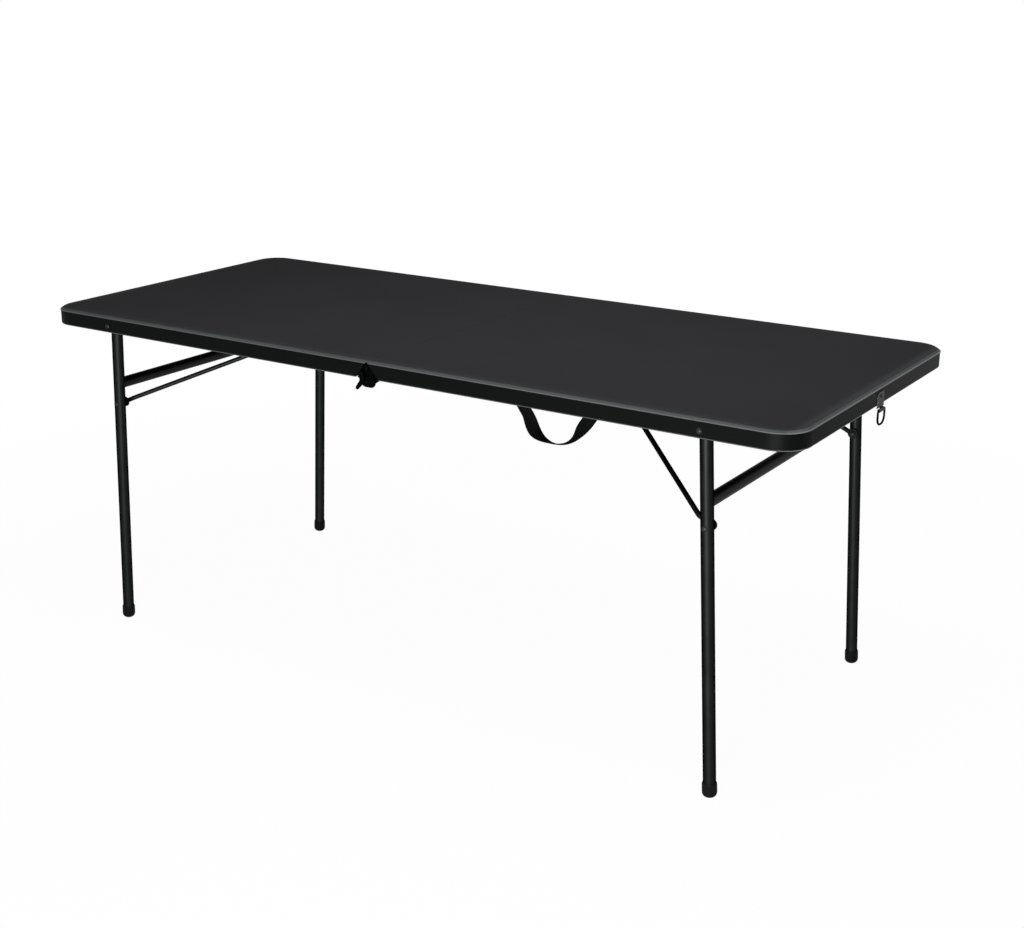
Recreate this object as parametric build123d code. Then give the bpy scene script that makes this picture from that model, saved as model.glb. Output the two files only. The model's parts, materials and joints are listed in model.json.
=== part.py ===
from build123d import *
import os
from math import atan2, cos, hypot, pi, radians, sin, sqrt, tan

# A fold-in-half table: two moulded half tops on a two-pin centre hinge and a folding leg frame under each,
# with a wire brace that holds the frame open, a closing latch and a carrying strap.
# Millimetres. X runs along the table, Y across it with the front at -Y, and Z up from the floor.
# The origin is on the floor, under the middle of the table.

# Half tops
table_length = 1830.0
table_width = 762.0
table_height = 738.0
corner_radius = 60.0
panel_depth = 37.0
deck_thickness = 6.0
lip_thickness = 9.0
seam_wall_thickness = 8.0
seam_gap = 0.5
rim_height = 6.5
rim_overhang = 1.0
rim_edge_round = 0.8
shoulder_drop = 5.3
shoulder_inset = 8.3
shoulder_round = 7.0
seam_edge_round = 1.5
lip_edge_round = 2.0
notch_half_width = 30.0
notch_apex_half_width = 2.5
notch_apex_drop = 3.5
dimple_diameter = 24.0
dimple_depth = 2.5
dimple_pitch = 70.0
dimple_margin = 14.0

# Steel side rails
rail_thickness = 2.5
rail_height = 22.0
rail_lift = 3.0
rail_seam_inset = 4.0
rail_corner_inset = 6.0
rail_screws_each_side = 2
rail_screw_inset = 70.0
screw_diameter = 4.0
screw_grip = 6.0
screw_head_diameter = 8.0
screw_head_height = 2.0

# Leg frames
leg_diameter = 25.0
leg_wall = 1.5
leg_splay = 2.94
leg_top_stub = 8.0
pivot_inset = 184.7
pivot_drop = 23.5
pivot_bolt_diameter = 8.0
pivot_head_diameter = 12.0
pivot_head_height = 3.0
pivot_nut_width = 13.0
pivot_nut_height = 6.0
spacer_diameter = 18.0
spacer_length = 5.0
crossbar_diameter = 25.0
crossbar_wall = 1.5
crossbar_distance = 137.5
foot_wall = 2.0
foot_height = 30.0
foot_floor = 6.0
foot_edge_round = 10.0
foot_bevel_width = 1.4
foot_bevel_height = 3.5
foot_tilt_allowance = 0.5

# Wire braces, one per leg frame
brace_diameter = 10.0
brace_distance = 184.0
brace_eye_diameter = 22.0
brace_eye_thickness = 5.0
brace_bend_run = 28.0
brace_bend_radius = 12.0
brace_folded_place = 97.0
brace_apex_drop = 21.0
brace_apex_half_width = 32.0
brace_apex_radius = 14.0
brace_bolt_diameter = 8.0
brace_bolt_head_diameter = 11.0
brace_bolt_head_height = 2.5
brace_nut_diameter = 13.0
brace_nut_height = 5.0
slider_width = 20.0
guide_sheet = 1.5
guide_flange = 9.0
guide_side_clearance = 0.5
guide_top_clearance = 0.5
guide_end_margin = 6.0
guide_tab_length = 28.0
guide_rivet_diameter = 5.0
guide_rivet_grip = 4.5
guide_rivet_head_diameter = 10.0
guide_rivet_head_height = 2.2

# Centre hinge
hinge_pin_half_spacing = 6.5
hinge_pin_drop = 7.0
hinge_pin_diameter = 5.0
hinge_pin_head_diameter = 9.0
hinge_pin_head_height = 1.5
hinge_link_radius = 11.0
hinge_leaf_corner_radius = 1.5
hinge_sheet = 2.5
hinge_leaf_seam_inset = 1.0
hinge_leaf_notch_gap = 0.6
hinge_leaf_top_drop = 6.2
hinge_layer_gap = 0.3
hinge_rivet_diameter = 4.0
hinge_rivet_head_diameter = 7.0
hinge_rivet_head_height = 1.4
hinge_rivet_low_height = 10.0
hinge_rivet_low_inset = 14.0
hinge_rivet_high_height = 18.0
hinge_rivet_high_inset = 8.0
lever_sheet = 2.0
lever_hub_radius = 4.5
lever_elbow_radius = 5.5
lever_elbow_in = 1.0
lever_elbow_down = 17.0
lever_tip_radius = 3.8
lever_reach_out = 11.0
lever_reach_down = 31.0
lever_stud_diameter = 4.0

# Closing latch on the right end and its catch on the left end
latch_sheet = 1.5
latch_width = 33.0
latch_top_drop = 11.5
latch_barrel_drop = 9.0
latch_barrel_length = 25.0
latch_corner_radius = 6.0
latch_rivet_drop = 20.0
latch_rivet_diameter = 4.0
latch_rivet_head_diameter = 8.0
latch_rivet_head_height = 2.0
latch_wire_diameter = 4.0
latch_loop_width = 34.0
latch_loop_length = 28.0
latch_loop_end_radius = 14.0
latch_loop_shoulder_radius = 4.0
catch_width = 22.0
catch_sheet = 2.0
catch_upturn = 5.0

# Carrying strap under the front lip of the right half
strap_centre = 433.0
strap_half_span = 73.0
strap_drop = 59.0
strap_width = 25.0
strap_thickness = 2.2
strap_lean = 36.0
strap_sections = 22
strap_flat_share = 0.88
strap_twist_start_share = 0.79
strap_twist_end_share = 0.2
strap_full_twist = 108.0
strap_forward_share = 0.8
strap_end_height = 20.0
keeper_width = 26.0
keeper_height = 12.0
keeper_thickness = 1.2
strap_rivet_diameter = 4.0
strap_rivet_head_diameter = 7.0
strap_rivet_head_height = 0.8
strap_fold_gap = 1.5

# Clearances
running_clearance = 0.05
pivot_clearance = 0.1
seat_clearance = 0.05
side_clearance = 0.3
match_tolerance = 0.001

# Levels and places that follow from the sizes above
lip_bottom = table_height - panel_depth
deck_under = table_height - deck_thickness
band_y = table_width / 2 - rim_overhang
band_x = table_length / 2 - rim_overhang
lip_inner_y = band_y - lip_thickness
lip_inner_x = band_x - lip_thickness
rail_inner_y = lip_inner_y - rail_thickness
leg_radius = leg_diameter / 2
foot_diameter = leg_diameter + 2 * foot_wall
leg_y = rail_inner_y - spacer_length - leg_radius
pivot_x = table_length / 2 - pivot_inset
pivot_z = table_height - pivot_drop
leg_length = pivot_z / cos(radians(leg_splay))
rail_start = rail_seam_inset
rail_end = table_length / 2 - corner_radius - rail_corner_inset
rail_middle_z = lip_bottom + rail_lift + rail_height / 2
pin_x = hinge_pin_half_spacing
pin_z = lip_bottom - hinge_pin_drop
ear_radius = hinge_pin_half_spacing - side_clearance
leaf_y = lip_inner_y
link_y = leaf_y + hinge_sheet + hinge_layer_gap
lever_y = link_y + hinge_sheet + hinge_pin_head_height + 2 * hinge_layer_gap

# The brace in the side view, with the frame open and folded away
brace_x = pivot_x + brace_distance * sin(radians(leg_splay))
brace_z = pivot_z - brace_distance * cos(radians(leg_splay))
apex_z = table_height - brace_apex_drop
brace_length = hypot(pivot_x - brace_distance - brace_folded_place, apex_z - pivot_z)
apex_x = brace_x - sqrt(brace_length**2 - (apex_z - brace_z) ** 2)
brace_slope = atan2(apex_z - brace_z, brace_x - apex_x)
eye_face_y = leg_y - leg_radius - side_clearance
slider_radius = deck_under - guide_sheet - guide_top_clearance - apex_z


def across(radius, y_low, y_high, x, z):
    """A round bar along Y between two y values."""
    return Pos(x, (y_low + y_high) / 2, z) * Rot(90, 0, 0) * Cylinder(radius, y_high - y_low)


def along(radius, x_low, x_high, y, z):
    """A round bar along X between two x values."""
    return Pos((x_low + x_high) / 2, y, z) * Rot(0, 90, 0) * Cylinder(radius, x_high - x_low)


def block(x_low, x_high, y_low, y_high, z_low, z_high):
    """A box from its six limits."""
    centre = Pos((x_low + x_high) / 2, (y_low + y_high) / 2, (z_low + z_high) / 2)
    return centre * Box(x_high - x_low, y_high - y_low, z_high - z_low)


def upright_plate(outline, y_low, thickness):
    """A flat outline drawn in X and Z, standing from y_low towards +Y."""
    plane = Plane(origin=(0, y_low + thickness, 0), x_dir=(1, 0, 0), z_dir=(0, -1, 0))
    return extrude(plane * outline, thickness)


def dome(radius, height):
    """A low round head on the XY plane, rising along +Z."""
    ball = (radius**2 + height**2) / (2 * height)
    cap = Pos(0, 0, height - ball) * Sphere(ball)
    return cap & Pos(0, 0, height / 2) * Cylinder(radius + ball, height)


def head_out(radius, height, x, y, z):
    """A dome that rises along +Y from a face at y."""
    return Pos(x, y, z) * Rot(-90, 0, 0) * dome(radius, height)


def head_in(radius, height, x, y, z):
    """A dome that rises along -Y from a face at y."""
    return Pos(x, y, z) * Rot(90, 0, 0) * dome(radius, height)


def placed(shape, side, end="rear"):
    """Carries a piece drawn at the right rear to its own side and end."""
    if end == "front":
        shape = mirror(shape, about=Plane.XZ)
    if side == "left":
        shape = mirror(shape, about=Plane.YZ)
    return shape


def save(name, *solids):
    """Writes one node, whose solids stay separate."""
    shape = solids[0] if len(solids) == 1 else Compound(children=list(solids))
    export_step(shape, f"parts/{name}.step")


def screw_places():
    """Where the rail screws stand: one over the strap's middle and the rest spread evenly each way."""
    first = rail_start + rail_screw_inset
    last = rail_end - rail_screw_inset / 2
    places = [strap_centre]
    for index in range(rail_screws_each_side):
        share = index / rail_screws_each_side
        places.append(first + (strap_centre - first) * share)
        places.append(last + (strap_centre - last) * share)
    return sorted(places)


def notch_edge(z):
    """How far the hinge notch's slanted side lies from the seam at height z."""
    slope = (notch_half_width - notch_apex_half_width) / (panel_depth - notch_apex_drop)
    return notch_apex_half_width + slope * (table_height - notch_apex_drop - z)


def leaf_rivet_places():
    """The two rivets of a hinge leaf, low and high, in X and Z."""
    low = (hinge_rivet_low_inset, lip_bottom + hinge_rivet_low_height)
    high = (hinge_rivet_high_inset, lip_bottom + hinge_rivet_high_height)
    return [low, high]


def guide_ends():
    """Where the brace guide's channel starts and ends along X."""
    low = brace_folded_place - slider_radius - guide_end_margin
    high = apex_x + slider_radius + guide_end_margin
    return low, high


def guide_rivet_places():
    """The rivets in the guide's two end tabs."""
    low, high = guide_ends()
    return [low - guide_tab_length / 2, high + guide_tab_length / 2]


def alike(first, second):
    """Whether two places along an axis are the same."""
    return abs(first - second) < match_tolerance


def half_outline(inset, seam_x):
    """The table's rounded outline, drawn in by inset, right of the seam."""
    whole = RectangleRounded(table_length - 2 * inset, table_width - 2 * inset, corner_radius - inset)
    keep = Pos(seam_x + table_length / 2, 0) * Rectangle(table_length, 2 * table_width)
    return whole & keep


def panel_shell():
    """A half top without holes: a rimmed cap over a band, hollow below the deck."""
    seam_x = seam_gap / 2
    cap = Pos(0, 0, table_height - rim_height) * extrude(half_outline(0, seam_x), rim_height)
    top = cap.faces().sort_by(Axis.Z)[-1]
    outer = top.edges().filter_by(lambda edge: edge.center().X > seam_x + corner_radius / 2)
    cap = chamfer(outer, length=shoulder_inset, length2=shoulder_drop, reference=top)
    top = cap.faces().sort_by(Axis.Z)[-1]
    rounded = top.edges().filter_by(lambda edge: edge.center().X > seam_x + corner_radius / 2)
    cap = fillet(rounded, shoulder_round)
    rim_z = table_height - shoulder_drop
    rim = cap.edges().filter_by(
        lambda edge: alike(edge.center().Z, rim_z) and edge.center().X > seam_x + corner_radius / 2
    )
    cap = fillet(rim, rim_edge_round)
    band = Pos(0, 0, lip_bottom) * extrude(half_outline(rim_overhang, seam_x), panel_depth - rim_height)
    foot = band.faces().sort_by(Axis.Z)[0]
    foot_edges = foot.edges().filter_by(lambda edge: edge.center().X > seam_x + corner_radius / 2)
    band = fillet(foot_edges, lip_edge_round)
    hollow = half_outline(rim_overhang + lip_thickness, seam_x + seam_wall_thickness)
    recess = Pos(0, 0, lip_bottom) * extrude(hollow, panel_depth - deck_thickness)
    shell = cap + band - recess
    seam_top = shell.edges().filter_by(Axis.Y).filter_by(
        lambda edge: alike(edge.center().X, seam_x) and alike(edge.center().Z, table_height)
    )
    return fillet(seam_top, seam_edge_round)


def dimples():
    """Moulded dimples on the underside of the deck, clear of the guide and the rails."""
    low_x = seam_gap / 2 + seam_wall_thickness + dimple_margin + dimple_diameter
    high_x = lip_inner_x - corner_radius / 2
    high_y = leg_y - leg_radius - dimple_margin - dimple_diameter / 2
    columns = int((high_x - low_x) // dimple_pitch)
    rows = int(high_y // dimple_pitch)
    guide_half = slider_width / 2 + guide_side_clearance + guide_sheet
    reserved = guide_half + dimple_margin + dimple_diameter / 2
    round_spots = Sketch()
    for column in range(columns + 1):
        x = low_x + column * (high_x - low_x) / columns
        for row in range(-rows, rows + 1):
            y = row * high_y / rows
            if abs(y) > reserved:
                round_spots += Pos(x, y) * Circle(dimple_diameter / 2)
    return Pos(0, 0, deck_under) * extrude(round_spots, dimple_depth)


def panel_cuts(side):
    """Everything cut from a half top: hinge notches, dimples and the holes for its fasteners."""
    notch_outline = Polygon(
        (0, lip_bottom),
        (notch_half_width, lip_bottom),
        (notch_apex_half_width, table_height - notch_apex_drop),
        (0, table_height - notch_apex_drop),
        align=None,
    )
    notch = upright_plate(notch_outline, lip_inner_y, table_width / 2 - lip_inner_y)
    pocket_y = rail_inner_y - screw_head_height - side_clearance
    wall_end = seam_gap / 2 + seam_wall_thickness
    pocket = block(0, wall_end, pocket_y, lip_inner_y, lip_bottom, deck_under)
    bolt_hole = across(pivot_bolt_diameter / 2 + seat_clearance, lip_inner_y, band_y, pivot_x, pivot_z)
    rear = [notch, pocket, bolt_hole]
    for x in screw_places():
        rear.append(
            across(
                screw_diameter / 2 + seat_clearance, lip_inner_y, lip_inner_y + screw_grip, x, rail_middle_z
            )
        )
    cuts = rear + [mirror(cut, about=Plane.XZ) for cut in rear]
    guide_hole = guide_rivet_diameter / 2 + seat_clearance
    for x in guide_rivet_places():
        cuts.append(Pos(x, 0, deck_under + guide_rivet_grip / 2) * Cylinder(guide_hole, guide_rivet_grip))
    latch_hole = latch_rivet_diameter / 2 + seat_clearance
    rivet_z = table_height - latch_rivet_drop
    if side == "right":
        cuts.append(along(latch_hole, lip_inner_x, band_x, 0, rivet_z))
    else:
        for y in catch_rivet_places():
            cuts.append(along(latch_hole, lip_inner_x, band_x, y, rivet_z))
    return cuts


def top_panel(side):
    """One half of the moulded top."""
    panel = shell - dimple_field - panel_cuts(side)
    return placed(panel.solid(), side)


def side_rail():
    """The flat steel rail inside the lip, which carries the leg pivot and the hinge leaf."""
    low = lip_bottom + rail_lift
    rail = block(rail_start, rail_end, rail_inner_y, lip_inner_y, low, low + rail_height)
    rail -= across(pivot_bolt_diameter / 2 + seat_clearance, rail_inner_y, lip_inner_y, pivot_x, pivot_z)
    for x in screw_places():
        rail -= across(screw_diameter / 2 + seat_clearance, rail_inner_y, lip_inner_y, x, rail_middle_z)
    for x, z in leaf_rivet_places():
        rail -= across(hinge_rivet_diameter / 2 + seat_clearance, rail_inner_y, lip_inner_y, x, z)
    return rail


def rail_screws():
    """The screws that hold a rail to the lip, with their heads inside."""
    screws = []
    for x in screw_places():
        shank = across(screw_diameter / 2, rail_inner_y, lip_inner_y + screw_grip, x, rail_middle_z)
        head = head_in(screw_head_diameter / 2, screw_head_height, x, rail_inner_y, rail_middle_z)
        screws.append(shank + head)
    return screws


def leg_place():
    """Carries a piece from the leg's own frame, pivot at the origin and foot towards -Z, to the table."""
    return Pos(pivot_x, leg_y, pivot_z) * Rot(0, -leg_splay, 0)


def leg_tube():
    """A leg tube, drilled for its pivot and for the brace bolt."""
    low = -leg_length + foot_floor
    length = leg_top_stub - low
    tube = Cylinder(leg_radius, length) - Cylinder(leg_radius - leg_wall, length)
    tube = Pos(0, 0, low + length / 2) * tube
    bolt_hole = brace_bolt_diameter / 2 + seat_clearance
    tube -= across(pivot_bolt_diameter / 2 + pivot_clearance, -leg_diameter, leg_diameter, 0, 0)
    tube -= across(bolt_hole, -leg_diameter, leg_diameter, 0, -brace_distance)
    return leg_place() * tube


def foot_cap():
    """The moulded cap on the foot, cut level with the floor."""
    low = -leg_length - foot_tilt_allowance
    height = foot_height + foot_tilt_allowance
    cap = Pos(0, 0, low + height / 2) * Cylinder(foot_diameter / 2, height)
    cap = fillet(cap.edges().sort_by(Axis.Z)[0], foot_edge_round)
    mouth = cap.faces().sort_by(Axis.Z)[-1]
    cap = chamfer(mouth.edges(), length=foot_bevel_width, length2=foot_bevel_height, reference=mouth)
    socket_low = -leg_length + foot_floor
    socket_height = foot_height - foot_floor
    cap -= Pos(0, 0, socket_low + socket_height / 2) * Cylinder(leg_radius + seat_clearance, socket_height)
    below = block(0, table_length, 0, table_width, -foot_height, 0)
    return leg_place() * cap - below


def crossbar():
    """The tube welded between a frame's two legs, its ends shaped to them."""
    middle = Pos(pivot_x, 0, pivot_z) * Rot(0, -leg_splay, 0) * Pos(0, 0, -crossbar_distance)
    radius = crossbar_diameter / 2
    bar = Cylinder(radius, 2 * leg_y) - Cylinder(radius - crossbar_wall, 2 * leg_y)
    bar = middle * Rot(90, 0, 0) * bar
    leg_core = Pos(0, 0, -crossbar_distance) * Cylinder(leg_radius + seat_clearance, 2 * leg_diameter)
    leg_core = leg_place() * leg_core
    bar -= [leg_core, mirror(leg_core, about=Plane.XZ)]
    return max(bar.solids(), key=lambda solid: solid.volume)


def pivot_bolt():
    """The bolt through the lip, rail, spacer and leg, with a round head outside."""
    inner = leg_y - leg_radius - pivot_nut_height - side_clearance
    shank = across(pivot_bolt_diameter / 2, inner, band_y, pivot_x, pivot_z)
    return shank + head_out(pivot_head_diameter / 2, pivot_head_height, pivot_x, band_y, pivot_z)


def pivot_nut():
    """The hexagon nut on the pivot bolt, inside the leg."""
    high = leg_y - leg_radius - side_clearance
    plane = Plane(origin=(pivot_x, high, pivot_z), x_dir=(1, 0, 0), z_dir=(0, -1, 0))
    across_corners = pivot_nut_width / cos(pi / 6)
    nut = extrude(plane * RegularPolygon(across_corners / 2, 6), pivot_nut_height)
    bore = pivot_bolt_diameter / 2 + seat_clearance
    return nut - across(bore, high - pivot_nut_height, high, pivot_x, pivot_z)


def pivot_spacer():
    """The bush that keeps a leg off its rail."""
    low = rail_inner_y - spacer_length + side_clearance
    bush = across(spacer_diameter / 2, low, rail_inner_y, pivot_x, pivot_z)
    return bush - across(pivot_bolt_diameter / 2 + seat_clearance, low, rail_inner_y, pivot_x, pivot_z)


def brace_point(run, y):
    """A point on the brace's side-view line, run millimetres from its bolts."""
    return (brace_x - run * cos(brace_slope), y, brace_z + run * sin(brace_slope))


def brace_rod():
    """One bent rod: an eye at each leg, a bend, and a straight middle under the deck."""
    rod_y = eye_face_y - brace_diameter / 2
    start = brace_eye_diameter / 2 - brace_bolt_diameter / 4
    rear = [
        brace_point(start, rod_y),
        brace_point(brace_bend_run, rod_y),
        (apex_x, brace_apex_half_width, apex_z),
    ]
    points = [(x, -y, z) for x, y, z in rear] + rear[::-1]
    radii = [brace_bend_radius, brace_apex_radius, brace_apex_radius, brace_bend_radius]
    path = FilletPolyline(*points, radius=radii)
    section = Plane(origin=path @ 0, z_dir=path % 0) * Circle(brace_diameter / 2)
    rod = sweep(section, path)
    eye_low = eye_face_y - brace_eye_thickness
    eye = across(brace_eye_diameter / 2, eye_low, eye_face_y, brace_x, brace_z)
    eye -= across(brace_bolt_diameter / 2 + running_clearance, eye_low, eye_face_y, brace_x, brace_z)
    rod = rod + eye + mirror(eye, about=Plane.XZ)
    return rod.solid()


def brace_bolt():
    """The bolt that ties the brace's eye to the leg, with a domed nut inside."""
    outer = leg_y + leg_radius
    inner = eye_face_y - brace_eye_thickness - side_clearance
    shank = across(brace_bolt_diameter / 2, inner, outer, brace_x, brace_z)
    head = head_out(brace_bolt_head_diameter / 2, brace_bolt_head_height, brace_x, outer, brace_z)
    nut = head_in(brace_nut_diameter / 2, brace_nut_height, brace_x, inner, brace_z)
    return shank + head + nut


def brace_slider():
    """The round slide bush on the middle of the brace, which runs in the guide."""
    half = slider_width / 2
    bore = brace_diameter / 2 + seat_clearance
    return across(slider_radius, -half, half, apex_x, apex_z) - across(bore, -half, half, apex_x, apex_z)


def brace_guide():
    """The channel under the deck, open below, with a flat tab at each end."""
    low, high = guide_ends()
    half = slider_width / 2 + guide_side_clearance
    outer = half + guide_sheet
    under = deck_under - guide_sheet
    guide = block(low - guide_tab_length, high + guide_tab_length, -outer, outer, under, deck_under)
    for y_low in (-outer, half):
        guide += block(low, high, y_low, y_low + guide_sheet, deck_under - guide_flange, deck_under)
    bore = guide_rivet_diameter / 2 + seat_clearance
    for x in guide_rivet_places():
        guide -= Pos(x, 0, deck_under) * Cylinder(bore, 2 * guide_sheet)
    return guide


def guide_rivets():
    """The rivets through the guide's tabs into the deck."""
    rivets = []
    under = deck_under - guide_sheet
    shank_height = guide_sheet + guide_rivet_grip
    head = Rot(180, 0, 0) * dome(guide_rivet_head_diameter / 2, guide_rivet_head_height)
    for x in guide_rivet_places():
        shank = Pos(x, 0, under + shank_height / 2) * Cylinder(guide_rivet_diameter / 2, shank_height)
        rivets.append(shank + Pos(x, 0, under) * head)
    return rivets


def hinge_leaf(side):
    """A hinge leaf in its notch, riveted to the rail, that tapers below the lip to an ear round its pin."""
    low = lip_bottom + rail_lift
    high = table_height - hinge_leaf_top_drop
    round_top = lip_bottom + hinge_leaf_corner_radius
    corner_x = notch_edge(round_top) - hinge_leaf_notch_gap - hinge_leaf_corner_radius
    plate = Polygon(
        (hinge_leaf_seam_inset, low),
        (pin_x, pin_z),
        (corner_x, lip_bottom),
        (notch_edge(low) - hinge_leaf_notch_gap, low),
        (notch_edge(high) - hinge_leaf_notch_gap, high),
        (hinge_leaf_seam_inset, high),
        align=None,
    )
    ear = Pos(pin_x, pin_z) * Circle(ear_radius)
    corner = Pos(corner_x, lip_bottom) * Circle(hinge_leaf_corner_radius)
    outline = plate + make_hull([*ear.edges(), *corner.edges()])
    leaf = upright_plate(outline, leaf_y, hinge_sheet)
    fit = running_clearance if side == "right" else seat_clearance
    leaf -= across(hinge_pin_diameter / 2 + fit, leaf_y, leaf_y + hinge_sheet, pin_x, pin_z)
    for x, z in leaf_rivet_places():
        leaf -= across(hinge_rivet_diameter / 2 + seat_clearance, leaf_y, leaf_y + hinge_sheet, x, z)
    return leaf.solid()


def hinge_link():
    """The link between a hinge's two pins."""
    outline = Pos(0, pin_z) * SlotCenterToCenter(2 * pin_x, 2 * hinge_link_radius)
    link = upright_plate(outline, link_y, hinge_sheet)
    for x in (-pin_x, pin_x):
        link -= across(hinge_pin_diameter / 2 + running_clearance, link_y, link_y + hinge_sheet, x, pin_z)
    return link.solid()


def hinge_pin():
    """The right-hand pin of a hinge, headed at both ends."""
    inner = leaf_y - hinge_layer_gap
    outer = link_y + hinge_sheet + hinge_layer_gap
    head = hinge_pin_head_diameter / 2
    pin = across(hinge_pin_diameter / 2, inner, outer, pin_x, pin_z)
    pin += head_out(head, hinge_pin_head_height, pin_x, outer, pin_z)
    return pin + head_in(head, hinge_pin_head_height, pin_x, inner, pin_z)


def leaf_rivet(x, z):
    """A rivet through a hinge leaf and its rail."""
    head = hinge_rivet_head_diameter / 2
    outer = leaf_y + hinge_sheet
    rivet = across(hinge_rivet_diameter / 2, rail_inner_y, outer, x, z)
    rivet += head_out(head, hinge_rivet_head_height, x, outer, z)
    return rivet + head_in(head, hinge_rivet_head_height, x, rail_inner_y, z)


def lever_stud():
    """The low rivet of a left leaf, made longer as the lock lever's pivot."""
    x, z = leaf_rivet_places()[0]
    head = hinge_rivet_head_diameter / 2
    shoulder = lever_y - hinge_layer_gap
    tip = lever_y + lever_sheet + hinge_layer_gap
    stud = across(hinge_rivet_diameter / 2, rail_inner_y, leaf_y + hinge_sheet, x, z)
    stud += across(head, leaf_y + hinge_sheet, shoulder, x, z)
    stud += across(lever_stud_diameter / 2, shoulder, tip, x, z)
    stud += head_out(head, hinge_rivet_head_height, x, tip, z)
    return stud + head_in(head, hinge_rivet_head_height, x, rail_inner_y, z)


def lock_lever():
    """The hinge lock's finger lever: down from its stud to an elbow, then out to its tip."""
    x, z = leaf_rivet_places()[0]
    hub = Pos(x, z) * Circle(lever_hub_radius)
    elbow = Pos(x - lever_elbow_in, z - lever_elbow_down) * Circle(lever_elbow_radius)
    tip = Pos(x + lever_reach_out, z - lever_reach_down) * Circle(lever_tip_radius)
    arm = make_hull([*hub.edges(), *elbow.edges()])
    finger = make_hull([*elbow.edges(), *tip.edges()])
    lever = upright_plate(arm + finger, lever_y, lever_sheet)
    bore = across(lever_stud_diameter / 2 + running_clearance, lever_y, lever_y + lever_sheet, x, z)
    return (lever - bore).solid()


def latch_axis():
    """Where the latch loop turns, in X and Z."""
    barrel = latch_wire_diameter / 2 + pivot_clearance + latch_sheet
    return band_x + barrel, lip_bottom - latch_barrel_drop


def latch_plate():
    """The latch's plate on the right end, rolled round the loop's wire at its foot."""
    x, z = latch_axis()
    barrel = latch_wire_diameter / 2 + pivot_clearance + latch_sheet
    top = table_height - latch_top_drop
    plane = Plane(origin=(band_x, 0, 0), x_dir=(0, 1, 0), z_dir=(1, 0, 0))
    face = Pos(0, (top + z) / 2) * Rectangle(latch_width, top - z)
    upper = face.vertices().group_by(Axis.Y)[-1]
    face = fillet(upper, latch_corner_radius)
    plate = extrude(plane * face, latch_sheet)
    half = latch_barrel_length / 2
    neck_z = lip_bottom - latch_barrel_drop / 2
    for y_low in (-latch_width, half):
        plate -= block(band_x, x + barrel, y_low, y_low + latch_width, z - barrel, neck_z)
    plate += across(barrel, -half, half, x, z)
    plate -= across(latch_wire_diameter / 2 + pivot_clearance, -latch_width, latch_width, x, z)
    rivet_hole = latch_rivet_diameter / 2 + seat_clearance
    plate -= along(rivet_hole, band_x, band_x + latch_sheet, 0, table_height - latch_rivet_drop)
    return plate.solid()


def latch_loop():
    """The wire loop that hangs in the latch's barrel, its two ends meeting inside."""
    x, z = latch_axis()
    half = latch_loop_width / 2
    end_gap = latch_wire_diameter / 8
    points = [
        (x, -end_gap, z),
        (x, -half, z),
        (x, -half, z - latch_loop_length),
        (x, half, z - latch_loop_length),
        (x, half, z),
        (x, end_gap, z),
    ]
    shoulder = latch_loop_shoulder_radius
    radii = [shoulder, latch_loop_end_radius, latch_loop_end_radius, shoulder]
    path = FilletPolyline(*points, radius=radii)
    section = Plane(origin=path @ 0, z_dir=path % 0) * Circle(latch_wire_diameter / 2)
    return sweep(section, path).solid()


def end_rivet(y, sheet):
    """A rivet that holds a latch or catch plate to the end of the table, drawn at the right end."""
    outer = band_x + sheet
    z = table_height - latch_rivet_drop
    rivet = along(latch_rivet_diameter / 2, lip_inner_x, outer, y, z)
    head = Rot(0, 90, 0) * dome(latch_rivet_head_diameter / 2, latch_rivet_head_height)
    return rivet + Pos(outer, y, z) * head


def catch_rivet_places():
    """The catch's two rivets, either side of its hook."""
    apart = catch_width / 2 + latch_rivet_head_diameter / 2 + side_clearance
    return [-apart, apart]


def catch_plate():
    """The catch on the left end, drawn at the right: a plate with an upturned hook for the loop."""
    axis_x, axis_z = latch_axis()
    folded_gap = 2 * hinge_pin_drop + 2 * hinge_pin_half_spacing
    wire_z = lip_bottom + latch_barrel_drop + latch_loop_length - folded_gap
    wire = latch_wire_diameter / 2 + side_clearance
    shelf_top = wire_z - wire
    shelf_low = shelf_top - catch_sheet
    outer = axis_x + wire
    half = catch_width / 2
    plate_half = max(catch_rivet_places()) + latch_rivet_head_diameter / 2 + side_clearance
    rivet_z = table_height - latch_rivet_drop
    plate_high = rivet_z + latch_rivet_head_diameter
    plate = block(band_x, band_x + latch_sheet, -plate_half, plate_half, shelf_low, plate_high)
    plate += block(band_x, outer + catch_sheet, -half, half, shelf_low, shelf_top)
    plate += block(outer, outer + catch_sheet, -half, half, shelf_low, shelf_top + catch_upturn)
    for y in catch_rivet_places():
        plate -= along(latch_rivet_diameter / 2 + seat_clearance, band_x, band_x + latch_sheet, y, rivet_z)
    return plate.solid()


def strap_plane_y():
    """The middle of the strap's thickness where it lies on the front rail."""
    return -(rail_inner_y - seat_clearance - strap_thickness / 2)


def strap_fold_z():
    """The line just below the lip where the strap's loop folds."""
    return lip_bottom - strap_fold_gap


def strap_line(turn):
    """The strap's middle line, two straight limbs and an arc, from turn -1 at one end to 1 at the other.

    Gives the place along X from the middle, the height above the lowest point and the line's slope.
    """
    steepest = pi / 2 - radians(strap_lean)
    radius = (strap_half_span * sin(steepest) - strap_drop * cos(steepest)) / (1 - cos(steepest))
    limb = (strap_half_span - radius * sin(steepest)) / cos(steepest)
    run = abs(turn) * (radius * steepest + limb)
    angle = min(run / radius, steepest)
    beyond = max(run - radius * steepest, 0)
    x = radius * sin(angle) + beyond * cos(angle)
    z = radius * (1 - cos(angle)) + beyond * sin(angle)
    side = 1 if turn >= 0 else -1
    return side * x, z, side * angle


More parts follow.
